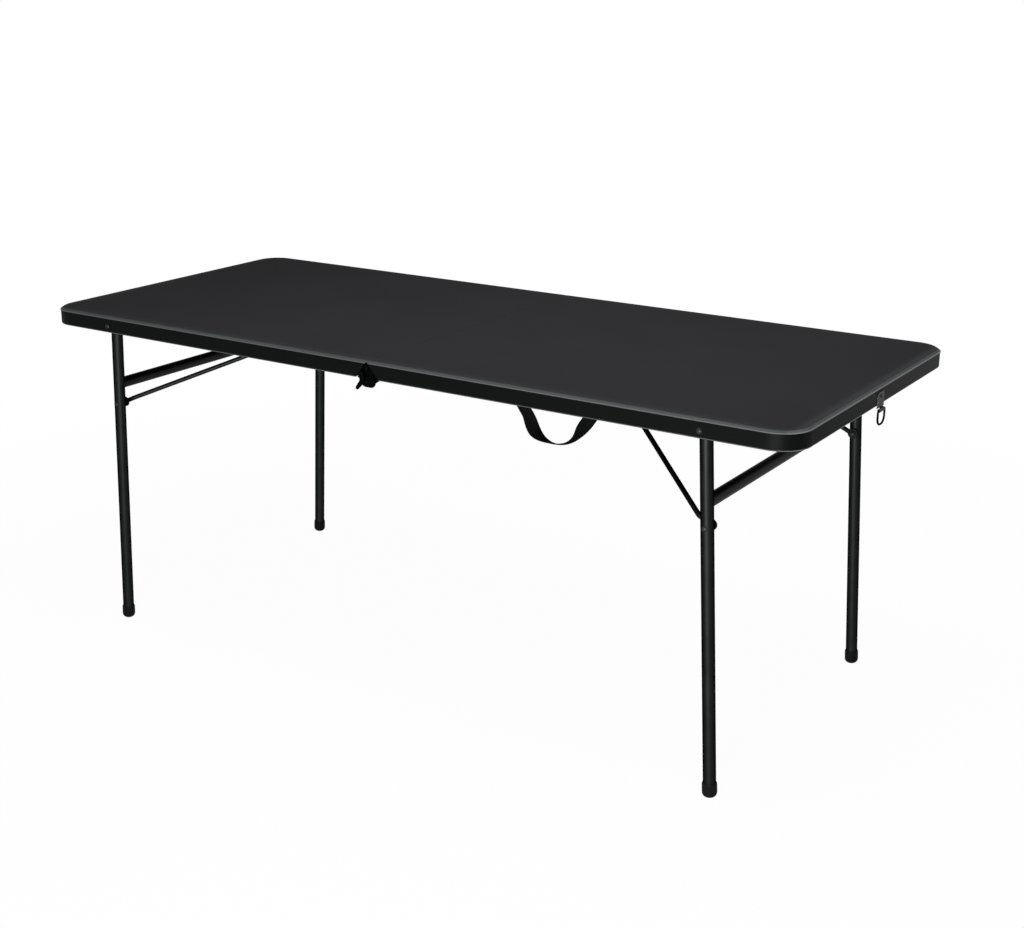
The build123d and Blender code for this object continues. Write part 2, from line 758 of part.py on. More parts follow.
def strap_section(turn):
    """The strap's cross-section, square to its line and turned flat for the hand near the middle.

    The turned strap stands forward, clear of the front leg's way as that folds.
    """
    x, z, angle = strap_line(turn)
    share = (strap_twist_start_share - abs(turn)) / (strap_twist_start_share - strap_twist_end_share)
    twist = radians(strap_full_twist) * sin(pi / 2 * min(max(share, 0), 1))
    forward = strap_forward_share * strap_width / 2 * sin(twist)
    along_path = Vector(cos(angle), 0, sin(angle))
    upright = Vector(-sin(angle), 0, cos(angle))
    widthwise = upright * cos(twist) + Vector(0, 1, 0) * sin(twist)
    centre = Vector(strap_centre + x, strap_plane_y() - forward, strap_fold_z() - strap_drop + z)
    return Plane(origin=centre, x_dir=widthwise, z_dir=along_path) * Rectangle(strap_width, strap_thickness)


def strap_fold_width():
    """The strap's width along its fold line, which it crosses leaning."""
    return strap_width / cos(radians(strap_lean))


def strap_end_x(side, z):
    """The middle of the strap's left end (-1) or right end (1) at height z."""
    return strap_centre + side * (strap_half_span + (z - strap_fold_z()) * tan(radians(strap_lean)))


def strap_fold_section(side):
    """The level cross-section where the loop meets its fold line."""
    origin = (strap_end_x(side, strap_fold_z()), strap_plane_y(), strap_fold_z())
    plane = Plane(origin=origin, x_dir=(-side, 0, 0), z_dir=(0, 0, side))
    return plane * Rectangle(strap_fold_width(), strap_thickness)


def strap_loop():
    """The hanging loop of webbing: flat on the rail at its ends and turned flat for the hand below."""
    shares = [2 * index / strap_sections - 1 for index in range(strap_sections + 1)]
    sections = [strap_section(strap_flat_share * share) for share in shares]
    loop = loft([strap_fold_section(-1), *sections, strap_fold_section(1)], ruled=True)
    half = strap_fold_width() / 2
    for side in (-1, 1):
        x = strap_end_x(side, strap_fold_z())
        loop += along(strap_thickness / 2, x - half, x + half, strap_plane_y(), strap_fold_z())
    return loop


def strap_ends():
    """The strap's two clamped ends behind the lip, just above the line where the loop folds."""
    low = strap_fold_z() + strap_thickness / 2 + side_clearance
    high = low + strap_end_height
    half = strap_fold_width() / 2
    ends = []
    for side in (-1, 1):
        x_low = strap_end_x(side, low)
        x_high = strap_end_x(side, high)
        outline = Polygon(
            (x_low - half, low),
            (x_low + half, low),
            (x_high + half, high),
            (x_high - half, high),
            align=None,
        )
        end = upright_plate(outline, strap_plane_y() - strap_thickness / 2, strap_thickness)
        ends.append(end - strap_rivet_bore(side))
    return ends


def strap_rivet_place(side):
    """A strap rivet in X and Z."""
    z = strap_fold_z() + strap_end_height - keeper_height / 2
    return strap_end_x(side, z), z


def strap_rivet_bore(side):
    """The hole for a strap rivet."""
    reach = rail_thickness + strap_thickness + 2 * keeper_thickness
    low = strap_plane_y() - reach
    return across(strap_rivet_diameter / 2 + seat_clearance, low, low + 2 * reach, *strap_rivet_place(side))


def keepers():
    """The two plates that clamp the strap's ends to the rail."""
    y_low = strap_plane_y() + strap_thickness / 2
    plates = []
    for side in (-1, 1):
        x, z = strap_rivet_place(side)
        plate = Pos(x, y_low + keeper_thickness / 2, z) * Box(keeper_width, keeper_thickness, keeper_height)
        plates.append(plate - strap_rivet_bore(side))
    return plates


def strap_rivets():
    """The rivets through the keepers, the strap and the front rail."""
    high = strap_plane_y() + strap_thickness / 2 + keeper_thickness
    rivets = []
    for side in (-1, 1):
        x, z = strap_rivet_place(side)
        shank = across(strap_rivet_diameter / 2, -lip_inner_y, high, x, z)
        rivets.append(shank + head_out(strap_rivet_head_diameter / 2, strap_rivet_head_height, x, high, z))
    return rivets


def save_side(side):
    """Writes every piece that both halves have."""
    ends = ("front", "rear")
    save(f"{side}_top_panel", top_panel(side))
    for end in ends:
        rail = placed(side_rail(), side, end)
        if side == "right" and end == "front":
            for strap_side in (-1, 1):
                rail -= strap_rivet_bore(strap_side)
        save(f"{side}_{end}_side_rail", rail.solid())
        save(f"{side}_{end}_leg", placed(leg_tube().solid(), side, end))
        save(f"{side}_{end}_foot_cap", placed(foot_cap().solid(), side, end))
        save(f"{side}_{end}_hinge_leaf", placed(hinge_leaf(side), side, end))
    save(f"{side}_rail_screws", *[placed(screw, side, end) for end in ends for screw in rail_screws()])
    save(f"{side}_leg_crossbar", placed(crossbar(), side))
    save(f"{side}_leg_pivot_bolts", *[placed(pivot_bolt(), side, end) for end in ends])
    save(f"{side}_leg_pivot_nuts", *[placed(pivot_nut(), side, end) for end in ends])
    save(f"{side}_leg_spacers", *[placed(pivot_spacer(), side, end) for end in ends])
    save(f"{side}_brace_rod", placed(brace_rod(), side))
    save(f"{side}_brace_bolts", *[placed(brace_bolt(), side, end) for end in ends])
    save(f"{side}_brace_slider", placed(brace_slider(), side))
    save(f"{side}_brace_guide", placed(brace_guide().solid(), side))
    save(f"{side}_guide_rivets", *[placed(rivet, side) for rivet in guide_rivets()])
    save(f"{side}_hinge_pins", *[placed(hinge_pin(), side, end) for end in ends])
    places = leaf_rivet_places() if side == "right" else leaf_rivet_places()[1:]
    save(f"{side}_leaf_rivets", *[placed(leaf_rivet(x, z), side, end) for end in ends for x, z in places])


def save_single_pieces():
    """Writes the hinge links and locks, the latch, the catch and the carrying strap."""
    for end in ("front", "rear"):
        save(f"{end}_hinge_link", placed(hinge_link(), "right", end))
        save(f"{end}_lock_lever", placed(lock_lever(), "left", end))
    save("lock_lever_studs", *[placed(lever_stud(), "left", end) for end in ("front", "rear")])
    save("latch_plate", latch_plate())
    save("latch_loop", latch_loop())
    save("latch_rivet", end_rivet(0, latch_sheet))
    save("catch_plate", placed(catch_plate(), "left"))
    save("catch_rivets", *[placed(end_rivet(y, latch_sheet), "left") for y in catch_rivet_places()])
    save("handle_strap", strap_loop().solid())
    save("handle_strap_ends", *strap_ends())
    save("handle_keepers", *keepers())
    save("handle_rivets", *strap_rivets())


os.makedirs("parts", exist_ok=True)
shell = panel_shell()
dimple_field = dimples()
for table_side in ("left", "right"):
    save_side(table_side)
save_single_pieces()
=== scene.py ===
"""Folding table: surface finishes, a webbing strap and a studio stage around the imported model."""

import json
from math import cos, pi, radians, sin

import bpy
from bpy.props import FloatProperty, FloatVectorProperty, PointerProperty
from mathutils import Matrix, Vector


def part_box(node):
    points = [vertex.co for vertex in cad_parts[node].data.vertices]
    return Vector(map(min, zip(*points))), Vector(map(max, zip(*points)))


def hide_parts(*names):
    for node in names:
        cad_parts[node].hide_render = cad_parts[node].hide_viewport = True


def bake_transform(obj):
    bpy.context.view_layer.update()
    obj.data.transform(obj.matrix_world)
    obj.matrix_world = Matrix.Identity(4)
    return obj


bl_info = {
    "name": "Folding Table",
    "version": (1, 0, 0),
    "blender": (4, 5, 0),
    "location": "View3D > Sidebar > Table",
    "description": "Dresses the packed folding table with its finishes, strap and studio stage",
    "category": "Object",
}

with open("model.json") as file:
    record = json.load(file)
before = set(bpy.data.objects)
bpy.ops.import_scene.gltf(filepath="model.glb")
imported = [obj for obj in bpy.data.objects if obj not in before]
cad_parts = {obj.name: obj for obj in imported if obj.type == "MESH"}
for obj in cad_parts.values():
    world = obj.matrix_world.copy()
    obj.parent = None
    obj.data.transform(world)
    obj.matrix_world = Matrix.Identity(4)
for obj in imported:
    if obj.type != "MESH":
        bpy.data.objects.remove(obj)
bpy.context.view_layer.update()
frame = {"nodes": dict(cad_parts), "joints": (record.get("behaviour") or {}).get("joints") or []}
SIDES = ("left", "right")
ENDS = ("front", "rear")
JOINTS = {joint["name"]: joint for joint in frame["joints"]}
PANEL_LOW, PANEL_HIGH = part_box("right_top_panel")
STRAP_FOLD = Vector(JOINTS["handle_swing"]["pos_m"])
TONE_LOW, TONE_HIGH = 0.3, 0.7  # the part of a noise's range that holds most of its values
BEVEL_SAMPLES = 4
COLOUR_A, COLOUR_B, COLOUR_RESULT = 6, 7, 2  # sockets of a Mix node for colours


class TableTopSettings(bpy.types.PropertyGroup):
    """The moulded half tops."""

    deck_colour: FloatVectorProperty(
        name="Deck colour", description="Colour of the grained top face",
        subtype="COLOR", size=4, min=0, max=1, default=(0.0345, 0.0345, 0.0366, 1),
    )
    side_colour: FloatVectorProperty(
        name="Side colour", description="Colour of the smooth sides and the underside",
        subtype="COLOR", size=4, min=0, max=1, default=(0.0010, 0.0014, 0.0013, 1),
    )
    # Painted highlight: the rounded shoulder is the deck's own black plastic, and this paler colour
    # paints the light it catches; its coat adds real gloss on top.
    rim_highlight_colour: FloatVectorProperty(
        name="Rim colour", description="Colour of the rounded shoulder, painted paler than the deck as its highlight",
        subtype="COLOR", size=4, min=0, max=1, default=(0.0530, 0.0560, 0.0565, 1),
    )
    # Painted highlight: the thin lines along the shoulder and the lip are made metallic in this light
    # colour, so that they shine as the highlights on those rounded edges do.
    edge_highlight_colour: FloatVectorProperty(
        name="Edge colour", description="Colour of the lines polished along the shoulder and the lip",
        subtype="COLOR", size=4, min=0, max=1, default=(0.080, 0.083, 0.084, 1),
    )
    # Painted highlight: the shoulder's colour and the highlight lines are made brighter near the table's
    # ends, for the light the ends catch.
    end_highlight_gain: FloatProperty(
        name="End rub", description="How many times paler the shoulder and lines are at the ends",
        min=1, default=1.8,
    )
    grain_size: FloatProperty(
        name="Grain size", description="Spacing of the moulded grain on the top face",
        subtype="DISTANCE", unit="LENGTH", default=0.0012,
    )
    shoulder_depth: FloatProperty(
        name="Shoulder depth", description="Height of the rounded shoulder round the top face",
        subtype="DISTANCE", unit="LENGTH", default=0.0053,
    )


class TableSteelSettings(bpy.types.PropertyGroup):
    """The tubes, rods, plates and fasteners."""

    tube_colour: FloatVectorProperty(
        name="Tube colour", description="Colour of the powder coat on legs and braces",
        subtype="COLOR", size=4, min=0, max=1, default=(0.0108, 0.0113, 0.0115, 1),
    )
    # Painted light: the crossbars have the tubes' powder coat, and this lighter colour paints the light
    # they catch.
    crossbar_lit_colour: FloatVectorProperty(
        name="Crossbar colour", description="Colour of the powder coat on the crossbars",
        subtype="COLOR", size=4, min=0, max=1, default=(0.0130, 0.0136, 0.0138, 1),
    )
    plate_colour: FloatVectorProperty(
        name="Plate colour", description="Colour of the coated rails, hinge plates and guides",
        subtype="COLOR", size=4, min=0, max=1, default=(0.0022, 0.0023, 0.0024, 1),
    )
    fastener_colour: FloatVectorProperty(
        name="Fastener colour", description="Colour of the blackened bolts, rivets and screws",
        subtype="COLOR", size=4, min=0, max=1, default=(0.0220, 0.0223, 0.0230, 1),
    )
    # Painted light: the latch is black like the other steel, and this lighter colour paints the light
    # that falls on it at the table's end.
    latch_lit_colour: FloatVectorProperty(
        name="Latch colour", description="Colour of the painted-lighter black latch plate and catch",
        subtype="COLOR", size=4, min=0, max=1, default=(0.0480, 0.0483, 0.0490, 1),
    )


class TablePlasticSettings(bpy.types.PropertyGroup):
    """The small moulded pieces."""

    foot_colour: FloatVectorProperty(
        name="Foot colour", description="Colour of the foot caps",
        subtype="COLOR", size=4, min=0, max=1, default=(0.0028, 0.0029, 0.0030, 1),
    )
    bush_colour: FloatVectorProperty(
        name="Bush colour", description="Colour of the slide bushes and spacers",
        subtype="COLOR", size=4, min=0, max=1, default=(0.0140, 0.0140, 0.0145, 1),
    )


class TableStrapSettings(bpy.types.PropertyGroup):
    """The webbing carrying strap."""

    width: FloatProperty(
        name="Width", description="Width of the webbing",
        subtype="DISTANCE", unit="LENGTH", default=0.025,
    )
    thickness: FloatProperty(
        name="Thickness", description="Thickness of the webbing",
        subtype="DISTANCE", unit="LENGTH", default=0.0020,
    )
    half_span: FloatProperty(
        name="Half span", description="Distance from the strap's middle to an end of the fold line",
        subtype="DISTANCE", unit="LENGTH", default=0.073,
    )
    drop: FloatProperty(
        name="Drop", description="Depth of the strap's middle below the fold line",
        subtype="DISTANCE", unit="LENGTH", default=0.059,
    )
    lean: FloatProperty(
        name="Lean", description="Angle of the strap's straight limbs from upright",
        subtype="ANGLE", unit="ROTATION", default=radians(36),
    )
    full_twist: FloatProperty(
        name="Full twist", description="Turn of the strap about its own line at its middle",
        subtype="ANGLE", unit="ROTATION", default=radians(108),
    )
    forward_share: FloatProperty(
        name="Forward share", description="Share of half its width by which the strap stands forward",
        subtype="FACTOR", min=0, max=1, default=0.8,
    )
    colour: FloatVectorProperty(
        name="Colour", description="Colour of the yarn",
        subtype="COLOR", size=4, min=0, max=1, default=(0.0016, 0.0017, 0.0018, 1),
    )


class TableStageSettings(bpy.types.PropertyGroup):
    """The floor, the lamps and the camera."""

    floor_colour: FloatVectorProperty(
        name="Floor colour", description="Colour of the floor",
        subtype="COLOR", size=4, min=0, max=1, default=(0.86, 0.86, 0.86, 1),
    )
    overhead_power: FloatProperty(
        name="Overhead power", description="Power of the soft lamp above the table",
        unit="POWER", default=42,
    )
    key_power: FloatProperty(
        name="Key power", description="Power of the soft lamp in front on the right",
        unit="POWER", default=145,
    )
    room_level: FloatProperty(
        name="Room level", description="Strength of the even light from all round", default=0.16,
    )
    camera_place: FloatVectorProperty(
        name="Camera place", description="Where the camera stands",
        subtype="TRANSLATION", unit="LENGTH", size=3, default=(1.89276, -2.73728, 1.50137),
    )
    camera_heading: FloatProperty(
        name="Camera heading", description="Turn of the camera to the left of straight ahead",
        subtype="ANGLE", unit="ROTATION", default=0.5815,
    )
    camera_tip: FloatProperty(
        name="Camera tip", description="Angle by which the camera looks down",
        subtype="ANGLE", unit="ROTATION", default=0.3138,
    )
    camera_lens: FloatProperty(
        name="Camera lens", description="Focal length for a 36 mm sensor",
        unit="CAMERA", default=55.345,
    )


def add_node(tree, kind, inputs=None, **settings):
    """Adds a node, sets its options and fills or links its inputs."""
    node = tree.nodes.new(kind)
    for name, value in settings.items():
        setattr(node, name, value)
    for name, value in (inputs or {}).items():
        if isinstance(value, bpy.types.NodeSocket):
            tree.links.new(value, node.inputs[name])
        else:
            node.inputs[name].default_value = value
    return node


def math(tree, operation, first, second=0.0, clamp=False):
    """Adds a Math node and gives its output."""
    inputs = {0: first, 1: second}
    return add_node(tree, "ShaderNodeMath", inputs, operation=operation, use_clamp=clamp).outputs[0]


def remap(tree, value, low, high, new_low=0.0, new_high=1.0, smooth=False):
    """Carries a value from one range to another, held at its ends."""
    node = add_node(
        tree, "ShaderNodeMapRange",
        {"Value": value, "From Min": low, "From Max": high, "To Min": new_low, "To Max": new_high},
        interpolation_type="SMOOTHSTEP" if smooth else "LINEAR",
    )
    return node.outputs["Result"]


def mix_colour(tree, factor, first, second, blend="MIX"):
    """Mixes two colours and gives the result."""
    inputs = {"Factor": factor, COLOUR_A: first, COLOUR_B: second}
    node = add_node(tree, "ShaderNodeMix", inputs, data_type="RGBA", blend_type=blend)
    return node.outputs[COLOUR_RESULT]


def mix_value(tree, factor, first, second):
    """Mixes two values and gives the result."""
    inputs = {"Factor": factor, "A": first, "B": second}
    return add_node(tree, "ShaderNodeMix", inputs).outputs["Result"]


def noise(tree, vector, scale, detail, roughness):
    """Adds a Noise Texture and gives its value."""
    inputs = {"Vector": vector, "Scale": scale, "Detail": detail, "Roughness": roughness}
    return add_node(tree, "ShaderNodeTexNoise", inputs).outputs["Fac"]


def rounded_normal(tree, radius):
    """The surface's normal, with its edges rounded by a radius."""
    return add_node(tree, "ShaderNodeBevel", {"Radius": radius}, samples=BEVEL_SAMPLES).outputs[0]


def new_group(name, inputs, outputs):
    """Starts a shader node group, and gives it with what is given to it and what it makes."""
    group = bpy.data.node_groups.new(name, "ShaderNodeTree")
    for label, kind, default in inputs:
        socket = group.interface.new_socket(label, in_out="INPUT", socket_type=kind)
        if default is not None:
            socket.default_value = default
    for label in outputs:
        group.interface.new_socket(label, in_out="OUTPUT", socket_type="NodeSocketFloat")
    given, made = group.nodes.new("NodeGroupInput"), group.nodes.new("NodeGroupOutput")
    return group, given.outputs, made.inputs


def grain_group():
    """Moulded grain: a pebbled height, and a slow drift of tone across the moulding."""
    fine_share, drift_scale = 0.6, 5.0
    inputs = [("Vector", "NodeSocketVector", None), ("Size", "NodeSocketFloat", 0.001)]
    group, given, made = new_group("Moulded grain", inputs, ("Height", "Tone"))
    place = given["Vector"]
    scale = math(group, "DIVIDE", 1.0, given["Size"])
    pebbles = add_node(group, "ShaderNodeTexVoronoi", {"Vector": place, "Scale": scale}).outputs[0]
    fine = math(group, "MULTIPLY", noise(group, place, scale, detail=3.0, roughness=0.6), fine_share)
    group.links.new(math(group, "ADD", pebbles, fine), made["Height"])
    group.links.new(noise(group, place, drift_scale, detail=4.0, roughness=0.55), made["Tone"])
    return group


def coat_group():
    """Powder coat: a fine orange-peel height, and a faint mottle of tone."""
    grit_share, grit_fineness, mottle_scale = 0.25, 5.0, 30.0
    inputs = [("Vector", "NodeSocketVector", None), ("Size", "NodeSocketFloat", 0.002)]
    group, given, made = new_group("Powder coat", inputs, ("Height", "Tone"))
    place = given["Vector"]
    scale = math(group, "DIVIDE", 1.0, given["Size"])
    peel = noise(group, place, scale, detail=1.0, roughness=0.4)
    grit_scale = math(group, "MULTIPLY", scale, grit_fineness)
    grit = noise(group, place, grit_scale, detail=1.0, roughness=0.5)
    height = math(group, "ADD", peel, math(group, "MULTIPLY", grit, grit_share))
    group.links.new(height, made["Height"])
    group.links.new(noise(group, place, mottle_scale, detail=3.0, roughness=0.6), made["Tone"])
    return group


def edge_group():
    """Edge wear: a mask that is strongest on outer edges, broken up by a noise."""
    flat, sharp = 0.97, 0.80  # how far rounded and plain normals agree, off the edges and on them
    patch_scale, patch_low, patch_high = 160.0, 0.35, 0.7
    inputs = [("Vector", "NodeSocketVector", None), ("Radius", "NodeSocketFloat", 0.001)]
    group, given, made = new_group("Edge wear", inputs, ("Mask",))
    rounded = rounded_normal(group, given["Radius"])
    plain = add_node(group, "ShaderNodeNewGeometry").outputs["Normal"]
    alike = add_node(group, "ShaderNodeVectorMath", {0: rounded, 1: plain}, operation="DOT_PRODUCT")
    edge = remap(group, alike.outputs["Value"], flat, sharp)
    patches = noise(group, given["Vector"], patch_scale, detail=4.0, roughness=0.65)
    broken = remap(group, patches, patch_low, patch_high)
    group.links.new(math(group, "MULTIPLY", edge, broken, clamp=True), made["Mask"])
    return group


def weave_group():
    """Plain-woven webbing, on a strap's own map in metres: yarn height, and a yarn tone that follows the
    height as painted shade between the yarns and painted highlight on them.
    """
    fuzz_scale, fuzz_low, fuzz_high, darkest = 3.0, 0.25, 0.75, 0.6
    inputs = [("Vector", "NodeSocketVector", None), ("Pitch", "NodeSocketFloat", 0.0014)]
    group, given, made = new_group("Webbing weave", inputs, ("Height", "Tone"))
    scaling = add_node(group, "ShaderNodeVectorMath", {0: given["Vector"]}, operation="SCALE")
    group.links.new(math(group, "DIVIDE", 1.0, given["Pitch"]), scaling.inputs["Scale"])
    yarns = scaling.outputs[0]
    place = add_node(group, "ShaderNodeSeparateXYZ", {0: yarns}).outputs
    checks = add_node(group, "ShaderNodeTexChecker", {"Vector": yarns, "Scale": 1.0}).outputs["Fac"]
    ridge_u = math(group, "ABSOLUTE", math(group, "SINE", math(group, "MULTIPLY", place["X"], pi)))
    ridge_v = math(group, "ABSOLUTE", math(group, "SINE", math(group, "MULTIPLY", place["Y"], pi)))
    over = math(group, "MULTIPLY", ridge_u, checks)
    under = math(group, "MULTIPLY", ridge_v, math(group, "SUBTRACT", 1.0, checks))
    height = math(group, "ADD", over, under)
    group.links.new(height, made["Height"])
    fuzz = noise(group, yarns, fuzz_scale, detail=3.0, roughness=0.6)
    fade = remap(group, fuzz, fuzz_low, fuzz_high, darkest, 1.0)
    # The tone is the yarn height faded by fuzz: painted shade in the hollows and painted highlight on
    # the crowns.
    group.links.new(math(group, "MULTIPLY", height, fade), made["Tone"])
    return group


def use_group(tree, name, maker, **inputs):
    """Places a shared node group, making it the first time, and gives its outputs."""
    group = bpy.data.node_groups.get(name) or maker()
    return add_node(tree, "ShaderNodeGroup", inputs, node_tree=group).outputs


def new_material(name, **constants):
    """Starts a material and gives it with its tree, its shader and its Object coordinates."""
    material = bpy.data.materials.new(name)
    material.use_nodes = True
    tree = material.node_tree
    tree.nodes.clear()
    shader = add_node(tree, "ShaderNodeBsdfPrincipled")
    for label, value in constants.items():
        shader.inputs[label.replace("_", " ")].default_value = value
    output = add_node(tree, "ShaderNodeOutputMaterial")
    tree.links.new(shader.outputs["BSDF"], output.inputs["Surface"])
    place = add_node(tree, "ShaderNodeTexCoord").outputs["Object"]
    return material, tree, shader, place


def bump(tree, shader, height, distance, strength=1.0, rounded=0.0):
    """Feeds a bump into the shader's normal, over edges that are softened by a small radius."""
    inputs = {"Height": height, "Distance": distance, "Strength": strength}
    if rounded:
        inputs["Normal"] = rounded_normal(tree, rounded)
    node = add_node(tree, "ShaderNodeBump", inputs)
    tree.links.new(node.outputs["Normal"], shader.inputs["Normal"])


def shade(colour, factor):
    """A colour made darker or lighter by a factor."""
    return [min(channel * factor, 1) for channel in colour[:3]] + [1]


def toned(tree, colour, tone, amount):
    """A colour that drifts lighter and darker by a share of itself."""
    drift = remap(tree, tone, TONE_LOW, TONE_HIGH)
    return mix_colour(tree, drift, shade(colour, 1 - amount), shade(colour, 1 + amount))


def band_mask(tree, height, level, band, smooth=False):
    """A mask that rises from 0 to 1 between two heights, which are given from a level."""
    start, full = band
    return remap(tree, height, level + start, level + full, smooth=smooth)


def moulded_top_material(settings):
    """Black moulding: a pebbled deck, a shoulder and deck edge painted paler as their highlights, and
    dark sides with highlight lines painted along the shoulder and the lip.
    """
    shoulder_band = (-0.0002, -0.0016)  # from the deck
    side_band, shoulder_line_band = (0.0, -0.0004), (0.0017, 0.0009)  # from the shoulder's foot
    lip_line_band, plain_foot_band = (0.0026, 0.0018), (0.0001, 0.0003)  # from the lip's foot
    end_start, end_full = 0.030, 0.012  # from the table's ends, where the painted highlights grow brighter
    # Painted highlight: near its edge, the deck is painted towards the shoulder's paler colour, in place
    # of the light caught where the real deck slopes down.
    crown_highlight_start, crown_highlight_full, crown_highlight_share = 0.036, 0.010, 0.3  # from the deck's edge
    smoothest, roughest = 0.6, 0.7
    shoulder_gloss, front_gloss, back_gloss = 0.25, 0.45, 0.85
    grain_height, smooth_share = 0.00008, 0.15
    material, tree, shader, place = new_material(
        "Moulded top", Specular_IOR_Level=0.0, Coat_Roughness=0.55, Coat_IOR=1.2
    )
    axes = add_node(tree, "ShaderNodeSeparateXYZ", {0: place}).outputs
    height = axes["Z"]
    from_end = math(tree, "SUBTRACT", PANEL_HIGH.x, math(tree, "ABSOLUTE", axes["X"]))
    from_side = math(tree, "SUBTRACT", PANEL_HIGH.y, math(tree, "ABSOLUTE", axes["Y"]))
    margin = math(tree, "MINIMUM", from_end, from_side)

    shoulder_foot = PANEL_HIGH.z - settings.shoulder_depth
    side = band_mask(tree, height, shoulder_foot, side_band)
    not_side = math(tree, "SUBTRACT", 1.0, side)
    shoulder = band_mask(tree, height, PANEL_HIGH.z, shoulder_band, smooth=True)
    shoulder_line = band_mask(tree, height, shoulder_foot, shoulder_line_band)
    lip_line = band_mask(tree, height, PANEL_LOW.z, lip_line_band)
    above_foot = band_mask(tree, height, PANEL_LOW.z, plain_foot_band)
    # Painted highlight lines: thin strips just above the shoulder's foot and just above the lip's foot
    # are made metallic in a light colour, in place of the rounded edges' highlights.
    highlighted = math(
        tree, "MAXIMUM",
        math(tree, "MULTIPLY", shoulder_line, not_side), math(tree, "MULTIPLY", lip_line, above_foot),
    )
    tree.links.new(highlighted, shader.inputs["Metallic"])

    grain = use_group(tree, "Moulded grain", grain_group, Vector=place, Size=settings.grain_size)
    # Painted highlight: the shoulder's and the lines' colours grow brighter within a few centimetres of
    # the table's ends.
    paler = remap(tree, from_end, end_start, end_full, 1.0, settings.end_highlight_gain)
    pale_channels = {"Red": paler, "Green": paler, "Blue": paler}
    pale = add_node(tree, "ShaderNodeCombineColor", pale_channels).outputs[0]
    deck_tint = toned(tree, settings.deck_colour, grain["Tone"], amount=0.04)
    # Painted highlight on the shoulder, in a paler colour than the deck.
    rim_highlight_tint = toned(tree, settings.rim_highlight_colour, grain["Tone"], amount=0.06)
    rim_highlight_tint = mix_colour(tree, 1.0, rim_highlight_tint, pale, "MULTIPLY")
    edge_highlight_tint = mix_colour(tree, 1.0, settings.edge_highlight_colour, pale, "MULTIPLY")
    side_tint = toned(tree, settings.side_colour, grain["Tone"], amount=0.12)
    # Painted highlight along the deck's edge.
    crown_highlight = remap(tree, margin, crown_highlight_start, crown_highlight_full, 0.0, crown_highlight_share, smooth=True)
    tint = mix_colour(tree, math(tree, "MAXIMUM", shoulder, crown_highlight), deck_tint, rim_highlight_tint)
    tint = mix_colour(tree, side, tint, side_tint)
    tint = mix_colour(tree, highlighted, tint, edge_highlight_tint)
    tree.links.new(tint, shader.inputs["Base Color"])

    roughness = remap(tree, grain["Tone"], TONE_LOW, TONE_HIGH, smoothest, roughest)
    tree.links.new(roughness, shader.inputs["Roughness"])
    side_gloss = remap(tree, axes["Y"], PANEL_LOW.y, PANEL_HIGH.y, front_gloss, back_gloss)
    gloss = mix_value(tree, side, math(tree, "MULTIPLY", shoulder, shoulder_gloss), side_gloss)
    tree.links.new(gloss, shader.inputs["Coat Weight"])
    deck = math(tree, "SUBTRACT", 1.0, math(tree, "MAXIMUM", shoulder, side))
    grain_share = remap(tree, deck, 0.0, 1.0, smooth_share, 1.0)
    bump(tree, shader, math(tree, "MULTIPLY", grain["Height"], grain_share), grain_height)
    return material


def coated_material(name, colour, peel_size, roughness, metal, grazing, worn):
    """Powder-coated steel with a faint orange peel and edges that have begun to polish."""
    edge_radius, soft_radius, peel_height = 0.0012, 0.0005, 0.00006
    smoother, rougher, edge_polish = 0.04, 0.05, 0.12
    material, tree, shader, place = new_material(
        name, Metallic=metal, Specular_IOR_Level=0.03, Specular_Tint=(grazing, grazing, grazing, 1)
    )
    coat = use_group(tree, "Powder coat", coat_group, Vector=place, Size=peel_size)
    edge = use_group(tree, "Edge wear", edge_group, Vector=place, Radius=edge_radius)
    tint = toned(tree, colour, coat["Tone"], amount=0.12)
    tint = mix_colour(tree, edge["Mask"], tint, shade(colour, worn))
    tree.links.new(tint, shader.inputs["Base Color"])
    gloss = remap(tree, coat["Tone"], TONE_LOW, TONE_HIGH, roughness - smoother, roughness + rougher)
    gloss = math(tree, "SUBTRACT", gloss, math(tree, "MULTIPLY", edge["Mask"], edge_polish))
    tree.links.new(gloss, shader.inputs["Roughness"])
    bump(tree, shader, coat["Height"], peel_height, rounded=soft_radius)
    return material


def fastener_material(settings):
    """Blackened steel: dark, half metallic, with brighter rubbed edges."""
    peel_size, peel_height = 0.0012, 0.00003
    edge_radius, soft_radius, rub = 0.0008, 0.0004, 2.2
    plain_metal, rubbed_metal = 0.55, 0.85
    smoothest, roughest = 0.30, 0.42
    material, tree, shader, place = new_material(
        "Blackened steel", Specular_IOR_Level=0.1, Specular_Tint=(0.05, 0.05, 0.05, 1)
    )
    coat = use_group(tree, "Powder coat", coat_group, Vector=place, Size=peel_size)
    edge = use_group(tree, "Edge wear", edge_group, Vector=place, Radius=edge_radius)
    tint = toned(tree, settings.fastener_colour, coat["Tone"], amount=0.2)
    tint = mix_colour(tree, edge["Mask"], tint, shade(settings.fastener_colour, rub))
    tree.links.new(tint, shader.inputs["Base Color"])
    metal = remap(tree, edge["Mask"], 0.0, 1.0, plain_metal, rubbed_metal)
    tree.links.new(metal, shader.inputs["Metallic"])
    roughness = remap(tree, coat["Tone"], TONE_LOW, TONE_HIGH, smoothest, roughest)
    tree.links.new(roughness, shader.inputs["Roughness"])
    bump(tree, shader, coat["Height"], peel_height, rounded=soft_radius)
    return material


